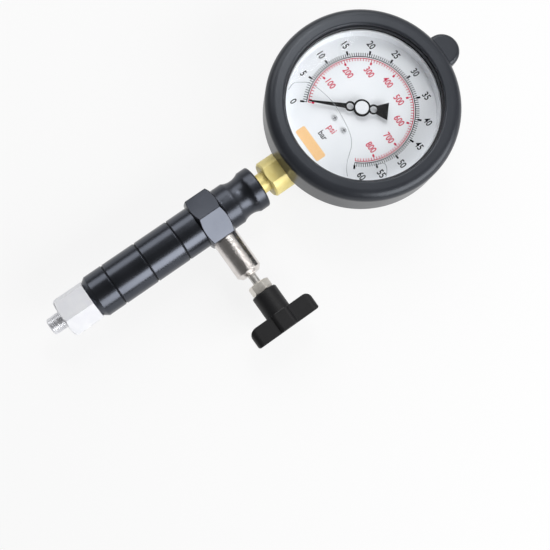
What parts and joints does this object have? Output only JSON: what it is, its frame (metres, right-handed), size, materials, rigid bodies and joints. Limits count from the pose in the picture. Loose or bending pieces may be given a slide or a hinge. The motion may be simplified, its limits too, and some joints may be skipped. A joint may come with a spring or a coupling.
{
  "type": "compression tester gauge",
  "caption": "Round dial gauge in a rubber boot on a turned handle with a hexagon, a side bleed valve with a T knob and a hex end adapter with a threaded hose nipple.",
  "frame": {"origin": "centre of the boot's flat back face, on which the part lies with the dial up", "axes": "+Z out of the dial along the gauge axis, +X to the top of the dial, so the handle runs along -X, and the bleed valve points along -Y"},
  "size_m": [0.3062, 0.1461, 0.058],
  "materials": {
    "boot_rubber": "satin moulded charcoal rubber",
    "case_paint": "black painted steel",
    "bezel_paint": "black painted steel",
    "window_glass": "clear flat window",
    "seal_rubber": "matt black rubber",
    "dial_paint": "white enamel with printed scales",
    "ring_plastic": "matt white moulded plastic",
    "small_steel": "plain steel",
    "pointer_paint": "matt black",
    "bush_metal": "bright turned",
    "movement_brass": "plain brass and bronze",
    "stem_brass": "bright machined brass",
    "handle_black": "satin black anodised",
    "zinc_steel": "bright white zinc plate",
    "seal_copper": "soft copper washer",
    "nickel": "polished nickel plate",
    "seat_plastic": "natural nylon",
    "dull_nickel": "dull warm nickel plate",
    "knob_plastic": "matt black moulded plastic"
  },
  "bodies": {
    "tester": {"rubber_boot": "boot_rubber", "gauge_case": "case_paint", "bezel_ring": "bezel_paint", "window": "window_glass", "window_gasket": "seal_rubber", "blowout_plug": "seal_rubber", "dial_plate": "dial_paint", "dial_screws": "bush_metal", "spacer_ring": "ring_plastic", "hairspring": "movement_brass", "movement_back_plate": "movement_brass", "movement_front_plate": "movement_brass", "movement_pillars": "movement_brass", "movement_screws": "small_steel", "bourdon_tube": "movement_brass", "tube_tip": "movement_brass", "gauge_socket": "stem_brass", "socket_screws": "small_steel", "socket_seal": "seal_rubber", "handle": "handle_black", "end_adapter": "zinc_steel", "adapter_seal": "seal_copper", "check_spring": "small_steel", "valve_body": "nickel", "valve_body_seal": "seal_rubber", "stem_seal": "seal_rubber"},
    "pointer_set": {"pointer": "pointer_paint", "pointer_bush": "bush_metal", "pinion_shaft": "small_steel"},
    "sector_set": {"sector_gear": "movement_brass", "sector_arbor": "small_steel", "tail_pin": "small_steel"},
    "link_set": {"link_bar": "small_steel", "tip_pin": "small_steel"},
    "poppet_set": {"check_poppet": "movement_brass"},
    "seat_set": {"seat_disc": "seat_plastic"},
    "knob_set": {"valve_stem": "small_steel", "jam_nut": "dull_nickel", "t_knob": "knob_plastic"}
  },
  "joints": [
    {"name": "pointer_turn", "type": "hinge", "parent": "tester", "child": "pointer_set", "pos_m": [0, 0, 0.045], "axis": [0, 0, -1], "range_deg": [0, 270], "stiffness_Nm_per_rad": 0.0001, "deforming": ["hairspring"]},
    {"name": "sector_turn", "type": "hinge", "parent": "tester", "child": "sector_set", "pos_m": [-0.01873, -0.01081, 0.031], "axis": [0, 0, 1], "range_deg": [0, 33.8]},
    {"name": "link_turn", "type": "hinge", "parent": "sector_set", "child": "link_set", "pos_m": [-0.02722, -0.01128, 0.033], "axis": [0, 0, -1], "range_deg": [0, 33.8]},
    {"name": "poppet_lift", "type": "slide", "parent": "tester", "child": "poppet_set", "axis": [1, 0, 0], "range_m": [0, 0.0015], "stiffness_N_per_m": 150, "springref_m": -0.002, "deforming": ["check_spring"]},
    {"name": "stem_feed", "type": "slide", "parent": "tester", "child": "seat_set", "axis": [0, -1, 0], "range_m": [0, 0.0015]},
    {"name": "knob_turn", "type": "hinge", "parent": "seat_set", "child": "knob_set", "pos_m": [-0.1144, -0.06, 0.023], "axis": [0, -1, 0], "range_deg": [0, 541]}
  ],
  "couplings": [
    {"joint": "sector_turn", "follows": "pointer_turn", "ratio": 0.125},
    {"joint": "link_turn", "follows": "pointer_turn", "ratio": 0.125},
    {"joint": "knob_turn", "follows": "stem_feed", "rad_per_m": 6283.2}
  ]
}
